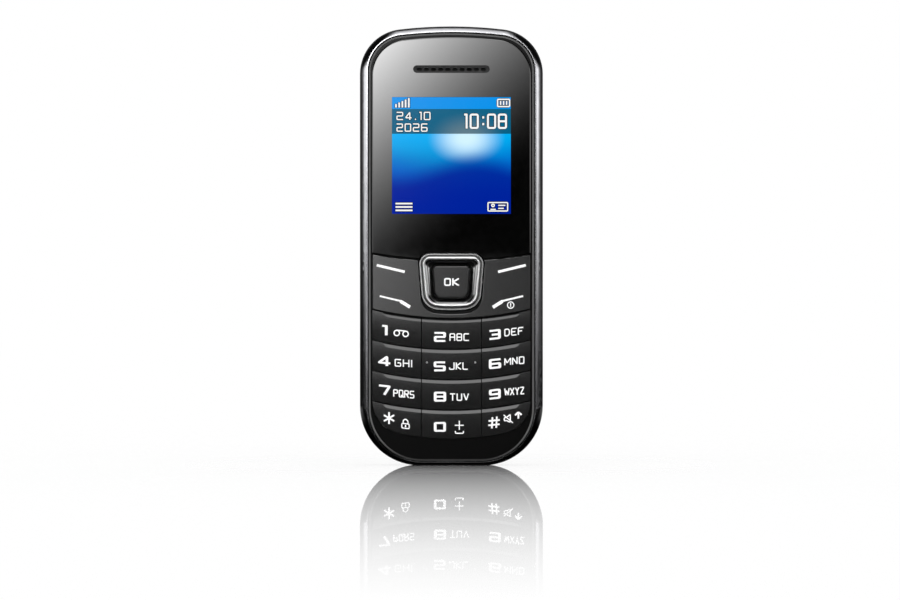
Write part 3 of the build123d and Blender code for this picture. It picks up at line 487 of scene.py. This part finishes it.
# Ribbons along the lines, on a node's front or at a level of their own. A lift
# gives them a thickness; shape widens the upright and thins the level strokes.
def strokes(name, node, lines, width, material, body, slot, level=None, lift=0.03,
            shape=(1.0, 1.0), corner=0.75):
    tree = None
    if node:
        data = nodes[node].data
        tree = BVHTree.FromPolygons([v.co.copy() for v in data.vertices],
                                    [p.vertices[:] for p in data.polygons])

    def front(spot, other):
        if not tree:
            return level
        for q in (spot, other):
            hit = tree.ray_cast(Vector((q.x * mm, -0.02, q.y * mm)), Vector((0, 1, 0)))[0]
            if hit:
                return hit.y
        return -0.006

    work = bmesh.new()
    for raw in lines:
        points = [px(u, v) for u, v in raw]
        line = rounded(points, width * corner) if len(points) > 2 else points
        closed = (line[0] - line[-1]).length < meeting
        pairs = []
        for i, spot in enumerate(line):
            before = line[i - 1] if i else (line[-2] if closed else spot)
            after = line[i + 1] if i < len(line) - 1 else (line[1] if closed else spot)
            way = ((spot - before).normalized() + (after - spot).normalized()).normalized()
            side = Vector((-way.y * shape[0], way.x * shape[1])) * width / 2
            end = Vector((0, 0))
            if not closed and i == 0:
                end = way * -width * 0.3
            if not closed and i == len(line) - 1:
                end = way * width * 0.3
            edges = (spot + side + end, spot - side + end)
            pairs.append([work.verts.new((e.x * mm, front(e, spot) - lift * mm, e.y * mm))
                          for e in edges])
        for (a, b), (c, d) in zip(pairs, pairs[1:]):
            work.faces.new((a, c, d, b))
    bmesh.ops.remove_doubles(work, verts=work.verts[:], dist=1e-7)
    if lift:
        back = bmesh.ops.extrude_face_region(work, geom=work.faces[:], use_keep_orig=True)
        back = [item for item in back["geom"] if isinstance(item, bmesh.types.BMVert)]
        bmesh.ops.translate(work, verts=back, vec=(0.0, (lift + 0.01) * mm, 0.0))
        bmesh.ops.recalc_face_normals(work, faces=work.faces[:])
    mesh = bpy.data.meshes.new(name)
    work.to_mesh(mesh)
    work.free()
    made = bpy.data.objects.new(name, mesh)
    scene.collection.objects.link(made)
    made.data.materials.append(material)
    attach(made, body)


# Painted glow: the white ink also emits a little light of its own.
legend_ink_painted_glow = surface("legend_ink_painted_glow", grey(0.86), grey(0.94), (0.35, 0.45), 1500.0, 6000.0,
                       0.02, Emission_Color=(1, 1, 1, 1), Emission_Strength=0.12)
digit_stroke, letter_stroke, mark_stroke, ring_stroke, sign_stroke = 0.6, 0.29, 0.42, 0.3, 0.27
left, right = 0.1, -0.115
digits = {
    "1": (379.6, 333.8, 7.4, 8.4, left), "2": (435.2, 340.9, 9.4, 8.0, 0.0),
    "3": (490.2, 339.0, 9.2, 8.0, right), "4": (379.0, 364.4, 10.6, 8.4, left),
    "5": (435.0, 370.3, 9.4, 8.0, 0.0), "6": (490.2, 368.2, 9.6, 8.0, right),
    "7": (379.8, 393.6, 9.8, 8.2, left), "8": (435.2, 400.6, 9.6, 8.0, 0.0),
    "9": (490.2, 398.6, 9.2, 8.0, right), "0": (435.2, 430.7, 9.4, 7.8, 0.0),
}
letters = {
    "2": ("ABC", 450.0, 340.4, 18.6, 6.6, 0.0), "3": ("DEF", 504.8, 336.0, 18.0, 6.6, right),
    "4": ("GHI", 395.2, 365.9, 17.0, 6.6, 0.06), "5": ("JKL", 449.6, 369.2, 17.8, 6.4, 0.0),
    "6": ("MNO", 504.8, 364.8, 19.0, 6.6, -0.08), "7": ("PQRS", 393.8, 396.2, 20.0, 6.6, 0.09),
    "8": ("TUV", 450.4, 400.2, 18.0, 6.4, 0.0), "9": ("WXYZ", 504.8, 395.4, 19.0, 6.6, -0.09),
}
star_u, star_v, star_radius = 389.1, 418.0, 5.4
star_arms = [(star_radius * cos(radians(t)), star_radius * sin(radians(t)))
             for t in (90, 30, 150)]
marks = {
    "1": [ring(396.8, 333.0, 2.7), ring(405.6, 333.9, 2.7), [(396.8, 330.2), (405.6, 331.1)]],
    "star": [[(star_u + u, star_v - v), (star_u - u, star_v + v)] for u, v in star_arms],
    "hash": [[(492.4, 417.6), (491.8, 427.8)], [(496.8, 417.0), (496.2, 427.2)],
             [(489.0, 420.9), (499.2, 419.9)], [(488.8, 425.2), (499.0, 424.2)],
             [(518.3, 418.0), (518.3, 412.8)],
             [(515.4, 414.9), (518.3, 411.9), (521.2, 414.5)]],
}
fine_marks = {
    "star": [[(401.9, 423.2), (409.2, 424.1), (409.2, 428.6), (401.9, 427.8), (401.9, 423.2)],
             [(403.2, 423.2), (403.2, 420.4), (405.6, 418.9), (408.0, 421.0), (408.0, 423.8)],
             [(405.6, 425.2), (405.6, 426.8)]],
    "0": [[(459.3, 421.0), (459.3, 429.4)], [(455.2, 425.2), (463.4, 425.2)],
          [(455.4, 431.2), (455.4, 433.2), (463.4, 433.2), (463.4, 431.2)]],
    "hash": [[(504.2, 417.6), (506.4, 417.4), (510.2, 414.4), (510.2, 422.2), (506.4, 420.4),
              (504.2, 420.6), (504.2, 417.6)], [(503.8, 415.0), (512.6, 422.6)]],
}
for key in [k for row in keys for k in row]:
    node, ink = "key_" + key, (legend_ink_painted_glow, "number_key_" + key, "key_plastic")
    if key in digits:
        start_u, base, width, height, slope = digits[key]
        strokes("legend_" + key, node, words(key, start_u, base, width, height, slope),
                digit_stroke, *ink, shape=(1.12, 0.8), corner=0.3)
    if key in letters:
        strokes("letters_" + key, node, words(*letters[key]), letter_stroke, *ink)
    if key in marks:
        width = ring_stroke if key == "1" else mark_stroke
        strokes("mark_" + key, node, marks[key], width, *ink)
    if key in fine_marks:
        strokes("sign_" + key, node, fine_marks[key], sign_stroke, *ink)
strokes("legend_ok", "ok_key", words("OK", 444.8, 285.2, 13.6, 6.4), 0.36, legend_ink_painted_glow,
        "ok_button", "key_plastic")
plate_marks = {
    "soft_dashes": ([[(377.6, 265.4), (404.0, 271.7)], [(498.8, 271.7), (525.0, 265.4)]], 0.62),
    "call_stems": ([[(380.4, 296.2), (400.6, 301.0)], [(502.4, 301.0), (522.6, 296.2)]], 0.42),
    "call_heads": ([[(401.4, 301.8), (409.2, 306.6)], [(501.6, 301.8), (493.6, 306.8)]], 0.8),
    "power_sign": ([ring(510.6, 305.1, 3.2), [(510.6, 303.4), (510.6, 306.8)]], 0.24),
}
for name, (lines, width) in plate_marks.items():
    strokes(name, "function_plate", lines, width, legend_ink_painted_glow, "function_keys", "key_plastic")

# Screen signs: a clock, a numeric date and plain icons, drawn as thin lit
# sheets in front of the picture, each over a wider dark copy of itself.
shade_level, sign_level = screen_level - 0.02 * mm, screen_level - 0.04 * mm
shade_margin = 0.3
sign_white, shader, place = start("sign_white")
fine = noise(place, 3000.0, 2.0)
connect(shader, {
    "Base Color": grey(0.0),
    "Roughness": 0.5,
    "Specular IOR Level": 0.0,
    "Emission Color": fine.mix(grey(0.92), grey(1.0)),
    "Emission Strength": 1.0,
})
sign_dark, shader, place = start("sign_dark")
fine = noise(place, 3000.0, 2.0)
connect(shader, {
    "Base Color": fine.mix(grey(0.0), grey(0.004)),
    "Roughness": 0.5,
    "Specular IOR Level": 0.0,
})
signs = {
    "clock": (words("10:08", 463.0, 128.0, 43.0, 13.4), 0.5),
    "date": (words("24.10", 397.0, 119.6, 33.0, 7.2) + words("2026", 397.0, 131.2, 30.0, 7.2),
             0.3),
    "signal": ([[(396.0 + 3.2 * i, 107.0), (396.0 + 3.2 * i, 104.6 - 1.5 * i)]
                for i in range(5)], 0.42),
    "charge": ([[(497.6, 99.4), (509.6, 99.4), (509.6, 106.6), (497.6, 106.6), (497.6, 99.4)]]
               + [[(500.6 + 3.0 * i, 101.4), (500.6 + 3.0 * i, 104.6)] for i in range(3)],
               0.34),
    "menu": ([[(396.0, 203.6 + 3.4 * i), (412.0, 203.6 + 3.4 * i)] for i in range(3)], 0.4),
    "contacts": ([[(488.0, 202.6), (507.6, 202.6), (507.6, 211.0), (488.0, 211.0),
                   (488.0, 202.6)],
                  ring(493.0, 205.4, 1.3), [(490.8, 209.4), (495.4, 209.4)],
                  [(498.6, 205.4), (505.0, 205.4)], [(498.6, 208.4), (503.4, 208.4)]], 0.3),
}
for name, (lines, width) in signs.items():
    strokes("shade_" + name, None, lines, width + shade_margin, sign_dark, "phone_body",
            "screen", shade_level, 0.0)
    strokes("screen_" + name, None, lines, width, sign_white, "phone_body", "screen",
            sign_level, 0.0)

# Raised dots: the two small beads by which a finger finds the middle key. They
# are moulded on the key and tipped with grey ink.
bead_radius = 0.27
bead_level = -5.86
bead_grey = surface("bead_grey", grey(0.34), grey(0.4), (0.35, 0.45), 1500.0, 6000.0, 0.02)
for name, u, v in (("bead_left", 426.9, 362.4), ("bead_right", 475.2, 362.4)):
    spot = px(u, v)
    mesh = bpy.data.meshes.new(name)
    work = bmesh.new()
    bmesh.ops.create_uvsphere(work, u_segments=16, v_segments=8, radius=bead_radius * mm)
    bmesh.ops.translate(work, verts=work.verts[:],
                        vec=(spot.x * mm, bead_level * mm, spot.y * mm))
    work.to_mesh(mesh)
    work.free()
    bead = bpy.data.objects.new(name, mesh)
    scene.collection.objects.link(bead)
    bead.data.materials.append(bead_grey)
    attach(bead, "number_key_5")

# Floor: a white sheet with a gloss that mirrors the phone near its foot and
# fades with the distance, as a slightly hazy acrylic sheet does.
mirror_reach = 540.0
mirror_share = 0.88
material, shader, place = start("floor_white")
x, y, z = axes(place)
far = ((x * x + y * y).math("SQRT") / mirror_reach).math("MINIMUM", 1.0)
tree = material.node_tree
mirror = place.node("ShaderNodeBsdfGlossy", {}, {"Color": grey(1.0), "Roughness": 0.0})
matt = place.node("ShaderNodeBsdfDiffuse", {}, {"Color": grey(1.0)})


def glow(place, strength):
    return place.node("ShaderNodeEmission", {}, {"Color": grey(1.0), "Strength": strength})


def blend(place, factor, first, second):
    return place.node("ShaderNodeMixShader", {}, {0: factor, 1: first, 2: second})


# A glossy ray sees a dark floor, with a paler patch at each side of the phone.
wide = x.math("ABSOLUTE")
beside = wide.step(40.0, 80.0) * (1.0 - wide.step(220.0, 420.0)) * y.step(-60.0, 20.0)
dark = blend(place, beside, glow(place, 0.02), glow(place, 0.5))
glossy_ray = place.node("ShaderNodeLightPath", {}, {}, 3)
low_look = place.node("ShaderNodeLayerWeight", {}, {"Blend": 0.5}, 1).step(0.76, 0.93)
part = (1.0 - far).math("POWER", 1.25) * mirror_share * low_look
seen = blend(place, glossy_ray, blend(place, part, matt, mirror), dark)
tree.links.new(seen.socket, tree.nodes["Material Output"].inputs["Surface"])
tree.nodes.remove(shader)
floor = sheet("floor", 6.0, 6.0, (0.0, 0.0, -0.00001), 0.0)
floor.data.materials.append(material)

# Backdrop: low white cards behind the phone and at both sides, seen only as
# the light that the floor mirrors towards a low camera.
card_width, card_height, card_distance = 0.84, 0.43, 2.9
material, shader, place = start("backdrop_white")
tree = material.node_tree
tree.links.new(glow(place, 1.0).socket, tree.nodes["Material Output"].inputs["Surface"])
for name, turn in (("back_card", 0.0), ("left_card", 90.0), ("right_card", -90.0)):
    card = sheet(name, card_width, card_height, (0.0, card_distance, 0.205))
    card.data.transform(Matrix.Rotation(radians(turn), 4, "Z"))
    card.data.materials.append(material)
    card.visible_diffuse = False
    card.visible_camera = False
    card.visible_shadow = False

# Reflector: part of a sphere round the phone that only glossy surfaces see.
# It carries the soft light that falls off across the panel from the upper left,
# a strip at each side for the band's white line, and a wide light overhead.
reflector_radius = 1600.0
brightest = 40.0
card_edge, card_run = 53.6, 56.0
material, shader, place = start("reflector_glow")
tree = material.node_tree
x, y, z = axes(place)
slant = ((z - x + 55.0) / 2.34 - card_edge) / card_run
near = 1.0 - (x * x + (z - 80.0) * (z - 80.0)).math("SQRT").step(160.0, 330.0)
card = slant.math("MAXIMUM", 0.0).math("MINIMUM", 1.3).math("POWER", 2.6) * 12.9 * near
across = (x / reflector_radius).math("ABSOLUTE")
up = z / reflector_radius
ahead = 1.0 - y.step(-1250.0, 100.0)
strips = across.step(0.3, 0.45) * (ahead * ahead * 6.2 + 0.6 - y.step(-300.0, 700.0) * 0.5)
strips = strips * (1.0 - up.step(0.14, 0.34)) * (up.step(0.015, 0.085) * 0.98 + 0.02)
over = up.step(0.3, 0.44) * (1.0 - up.step(0.55, 0.9) * 0.55)
over = over * (1.0 - across.step(0.12, 0.4))
over = over * (1.0 - y.step(-700.0, 600.0) * 0.85) * 10.5
beside = x.step(-420.0, -240.0) * (1.0 - x.step(-60.0, 60.0) * 0.85)
beside = beside * (1.0 - z.step(56.0, 68.0)) * 2.3
share = (card + strips + over + beside) / brightest
seen = blend(place, share, glow(place, 0.02), glow(place, brightest))
tree.links.new(seen.socket, tree.nodes["Material Output"].inputs["Surface"])
mesh = bpy.data.meshes.new("reflector")
work = bmesh.new()
bmesh.ops.create_uvsphere(work, u_segments=64, v_segments=32, radius=reflector_radius * mm)
open_part = [v for v in work.verts if v.co.y > 0.72 or v.co.z < -0.01]
bmesh.ops.delete(work, geom=open_part, context="VERTS")
bmesh.ops.reverse_faces(work, faces=work.faces[:])
work.to_mesh(mesh)
work.free()
reflector = bpy.data.objects.new("reflector", mesh)
scene.collection.objects.link(reflector)
reflector.data.materials.append(material)
reflector.visible_camera = False
reflector.visible_diffuse = False
reflector.visible_transmission = False
reflector.visible_shadow = False

# Soft light: an even white sky for the matt surfaces, and white behind all.
# Glossy surfaces see it darker, so that the reflector's lights show on them.
gloss_cut = 0.88
world = bpy.data.worlds.new("world")
world.use_nodes = True
scene.world = world
tree = world.node_tree
sky = tree.nodes["Background"]
glossy_ray = Wire(tree, None).node("ShaderNodeLightPath", {}, {}, 3)
connect(sky, {"Color": grey(1.0), "Strength": 1.0 - glossy_ray * gloss_cut})
